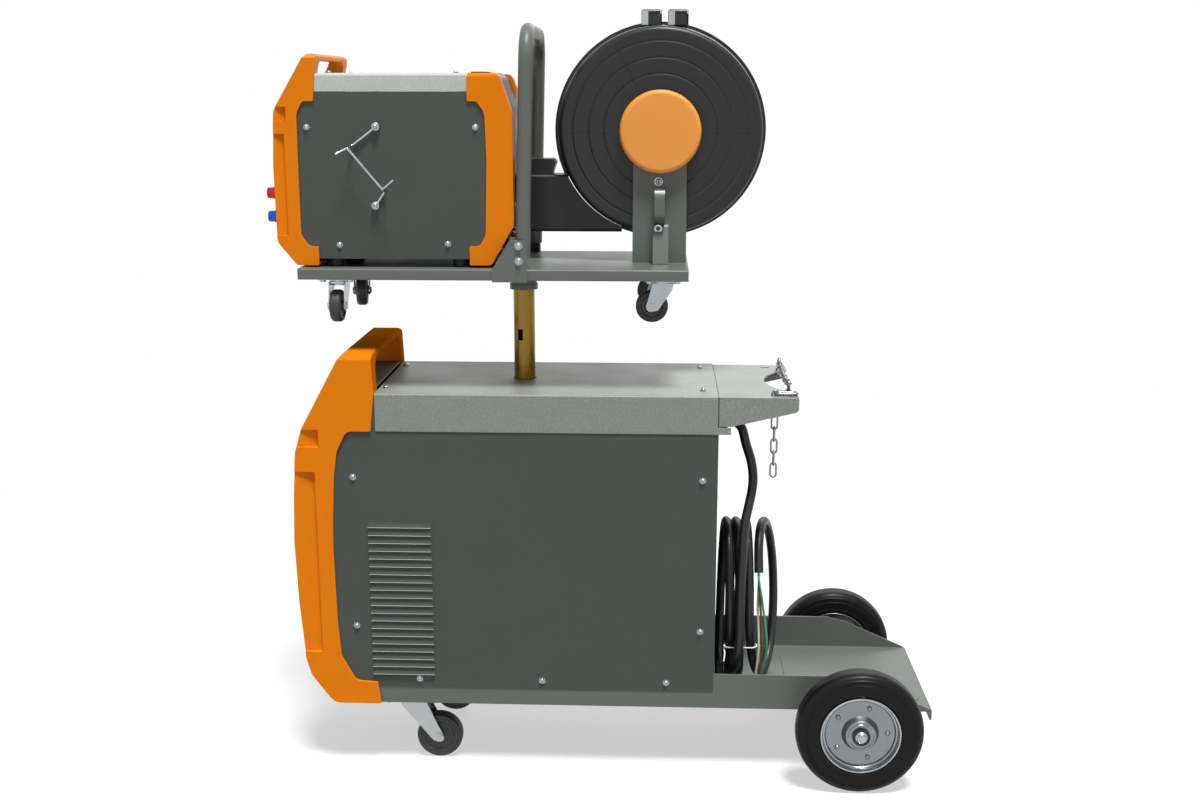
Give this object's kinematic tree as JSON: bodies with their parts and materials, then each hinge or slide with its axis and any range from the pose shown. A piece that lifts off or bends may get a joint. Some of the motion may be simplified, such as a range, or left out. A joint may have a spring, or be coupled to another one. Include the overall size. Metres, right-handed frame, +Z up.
{
  "type": "mig welder on cart",
  "caption": "Semi-automatic welding power source on a wheeled cart with a gas bottle shelf, and a separate wire feeder with a covered spool on a swivel trolley above it.",
  "frame": {"origin": "on the floor below the centre of the object's box without its mains cable", "axes": "+X points from the front panel to the gas bottle shelf, +Y to the operator's left side when facing the front panel from outside, +Z up"},
  "size_m": [1.048, 0.408, 1.2039],
  "materials": {
    "graphite_paint": "graphite grey powder coat, satin",
    "grey_paint": "grey green powder coat, fine hammer texture",
    "deck_paint": "grey powder coat, satin",
    "orange_plastic": "moulded orange plastic, semi-gloss",
    "orange_cap": "moulded orange plastic, satin",
    "black_plastic": "black moulded plastic",
    "black_panel": "black textured plastic",
    "zinc_bright": "bright zinc plated steel",
    "zinc_yellow": "yellow passivated zinc plated steel",
    "rim_zinc": "pressed zinc plated steel",
    "tyre_rubber": "black solid rubber",
    "caster_rubber": "black rubber tread",
    "copper_module": "extruded heatsink with transformer and capacitors",
    "red_plastic": "red plastic",
    "coupler_mix": "anodised couplers, one red, one blue",
    "brass": "machined brass",
    "drive_alloy": "die-cast alloy",
    "spool_plastic": "spool of copper coated wire",
    "cable_rubber": "black rubber cable jacket",
    "core_insulation": "insulated cores"
  },
  "bodies": {
    "power_source": {"base_tray": "graphite_paint", "side_panel_right": "graphite_paint", "side_panel_left": "graphite_paint", "top_cover": "grey_paint", "bottle_rack": "grey_paint", "rear_panel": "graphite_paint", "front_panel": "black_panel", "front_bezel": "orange_plastic", "column_socket": "graphite_paint", "power_module": "copper_module", "chain_span": "zinc_bright", "axle": "zinc_bright", "caster_plates": "zinc_bright", "body_screws": "zinc_bright", "cable_gland": "black_plastic", "mains_lead": "cable_rubber", "mains_hank": "cable_rubber", "cable_cores": "core_insulation"},
    "column": {"column": "zinc_yellow"},
    "trolley": {"trolley_deck": "deck_paint", "loop_handle": "deck_paint", "spool_post": "deck_paint", "spool_cover_right": "black_plastic", "hub_cap": "orange_cap", "wire_duct": "black_plastic", "feeder_body": "graphite_paint", "feeder_top_cover": "grey_paint", "feeder_front_bezel": "orange_plastic", "feeder_rear_bezel": "orange_plastic", "feeder_rear_cover": "black_plastic", "feeder_front_panel": "black_panel", "couplers": "coupler_mix", "torch_hangers": "zinc_bright", "drive_unit": "drive_alloy"},
    "rear_wheel_right": {"rear_rim_right": "rim_zinc", "rear_tyre_right": "tyre_rubber"},
    "rear_wheel_left": {"rear_rim_left": "rim_zinc", "rear_tyre_left": "tyre_rubber"},
    "caster_swivel_right": {"caster_fork_right": "zinc_bright"},
    "caster_roller_right": {"caster_wheel_right": "caster_rubber"},
    "caster_swivel_left": {"caster_fork_left": "zinc_bright"},
    "caster_roller_left": {"caster_wheel_left": "caster_rubber"},
    "small_swivel_front_right": {"small_fork_front_right": "zinc_bright"},
    "small_roller_front_right": {"small_wheel_front_right": "caster_rubber"},
    "small_swivel_front_left": {"small_fork_front_left": "zinc_bright"},
    "small_roller_front_left": {"small_wheel_front_left": "caster_rubber"},
    "small_swivel_rear_right": {"small_fork_rear_right": "zinc_bright"},
    "small_roller_rear_right": {"small_wheel_rear_right": "caster_rubber"},
    "small_swivel_rear_left": {"small_fork_rear_left": "zinc_bright"},
    "small_roller_rear_left": {"small_wheel_rear_left": "caster_rubber"},
    "spool": {"wire_spool": "spool_plastic"},
    "spool_cover": {"spool_cover_left": "black_plastic"},
    "latches": {"spool_latches": "zinc_bright"},
    "door": {"feeder_door": "graphite_paint"},
    "knob": {"feeder_knob": "orange_cap"},
    "roll": {"drive_roll": "brass"},
    "arm": {"pressure_arm": "black_plastic"},
    "switch": {"mains_switch": "red_plastic"},
    "fan": {"fan_rotor": "black_plastic"},
    "tail": {"chain_tail": "zinc_bright"}
  },
  "joints": [
    {"name": "rear_wheel_right_roll", "type": "hinge", "parent": "power_source", "child": "rear_wheel_right", "pos_m": [0.402, -0.177, 0.1], "axis": [0, 1, 0], "continuous": true},
    {"name": "rear_wheel_left_roll", "type": "hinge", "parent": "power_source", "child": "rear_wheel_left", "pos_m": [0.402, 0.177, 0.1], "axis": [0, 1, 0], "continuous": true},
    {"name": "caster_right_swivel", "type": "hinge", "parent": "power_source", "child": "caster_swivel_right", "pos_m": [-0.316, -0.088, 0.11], "axis": [0, 0, 1], "continuous": true},
    {"name": "caster_right_roll", "type": "hinge", "parent": "caster_swivel_right", "child": "caster_roller_right", "pos_m": [-0.274, -0.088, 0.0375], "axis": [0, 1, 0], "continuous": true},
    {"name": "caster_left_swivel", "type": "hinge", "parent": "power_source", "child": "caster_swivel_left", "pos_m": [-0.316, 0.088, 0.11], "axis": [0, 0, 1], "continuous": true},
    {"name": "caster_left_roll", "type": "hinge", "parent": "caster_swivel_left", "child": "caster_roller_left", "pos_m": [-0.274, 0.088, 0.0375], "axis": [0, 1, 0], "continuous": true},
    {"name": "column_lift", "type": "slide", "parent": "power_source", "child": "column", "axis": [0, 0, 1], "range_m": [0, 0.09]},
    {"name": "trolley_swivel", "type": "hinge", "parent": "column", "child": "trolley", "pos_m": [-0.1345, 0, 0.79], "axis": [0, 0, 1], "continuous": true},
    {"name": "small_front_right_swivel", "type": "hinge", "parent": "trolley", "child": "small_swivel_front_right", "pos_m": [-0.413, -0.084, 0.799], "axis": [0, 0, 1], "continuous": true},
    {"name": "small_front_right_roll", "type": "hinge", "parent": "small_swivel_front_right", "child": "small_roller_front_right", "pos_m": [-0.413, -0.101, 0.756], "axis": [1, 0, 0], "continuous": true},
    {"name": "small_front_left_swivel", "type": "hinge", "parent": "trolley", "child": "small_swivel_front_left", "pos_m": [-0.413, 0.084, 0.799], "axis": [0, 0, 1], "continuous": true},
    {"name": "small_front_left_roll", "type": "hinge", "parent": "small_swivel_front_left", "child": "small_roller_front_left", "pos_m": [-0.41063, 0.06717, 0.756], "axis": [0.9903, 0.1392, 0], "continuous": true},
    {"name": "small_rear_right_swivel", "type": "hinge", "parent": "trolley", "child": "small_swivel_rear_right", "pos_m": [0.088, -0.084, 0.799], "axis": [0, 0, 1], "continuous": true},
    {"name": "small_rear_right_roll", "type": "hinge", "parent": "small_swivel_rear_right", "child": "small_roller_rear_right", "pos_m": [0.071, -0.084, 0.756], "axis": [0, -1, 0], "continuous": true},
    {"name": "small_rear_left_swivel", "type": "hinge", "parent": "trolley", "child": "small_swivel_rear_left", "pos_m": [0.088, 0.084, 0.799], "axis": [0, 0, 1], "continuous": true},
    {"name": "small_rear_left_roll", "type": "hinge", "parent": "small_swivel_rear_left", "child": "small_roller_rear_left", "pos_m": [0.071, 0.084, 0.756], "axis": [0, -1, 0], "continuous": true},
    {"name": "spool_spin", "type": "hinge", "parent": "trolley", "child": "spool", "pos_m": [0.0815, 0.036, 1.018], "axis": [0, 1, 0], "continuous": true},
    {"name": "spool_cover_pull", "type": "slide", "parent": "trolley", "child": "spool_cover", "axis": [0, 1, 0], "range_m": [0, 0.12]},
    {"name": "latch_open", "type": "hinge", "parent": "trolley", "child": "latches", "pos_m": [0.0815, 0.019, 1.197], "axis": [1, 0, 0], "range_deg": [0, 110]},
    {"name": "door_open", "type": "hinge", "parent": "trolley", "child": "door", "pos_m": [-0.321, 0.1093, 1.082], "axis": [1, 0, 0], "range_deg": [0, 120]},
    {"name": "knob_turn", "type": "hinge", "parent": "trolley", "child": "knob", "pos_m": [-0.483, 0, 0.96], "axis": [1, 0, 0], "range_deg": [-150, 150]},
    {"name": "drive_roll_spin", "type": "hinge", "parent": "trolley", "child": "roll", "pos_m": [-0.331, 0.03, 0.89], "axis": [0, 1, 0], "continuous": true},
    {"name": "pressure_arm_open", "type": "hinge", "parent": "trolley", "child": "arm", "pos_m": [-0.365, 0.03, 0.921], "axis": [0, -1, 0], "range_deg": [0, 70]},
    {"name": "mains_switch_turn", "type": "hinge", "parent": "power_source", "child": "switch", "pos_m": [0.174, 0.1, 0.47], "axis": [1, 0, 0], "range_deg": [0, 90]},
    {"name": "fan_spin", "type": "hinge", "parent": "power_source", "child": "fan", "pos_m": [0.161, 0, 0.3], "axis": [1, 0, 0], "continuous": true},
    {"name": "chain_tail_swing", "type": "hinge", "parent": "power_source", "child": "tail", "pos_m": [0.262, -0.108, 0.60665], "axis": [1, 0, 0], "range_deg": [-35, 20]}
  ]
}
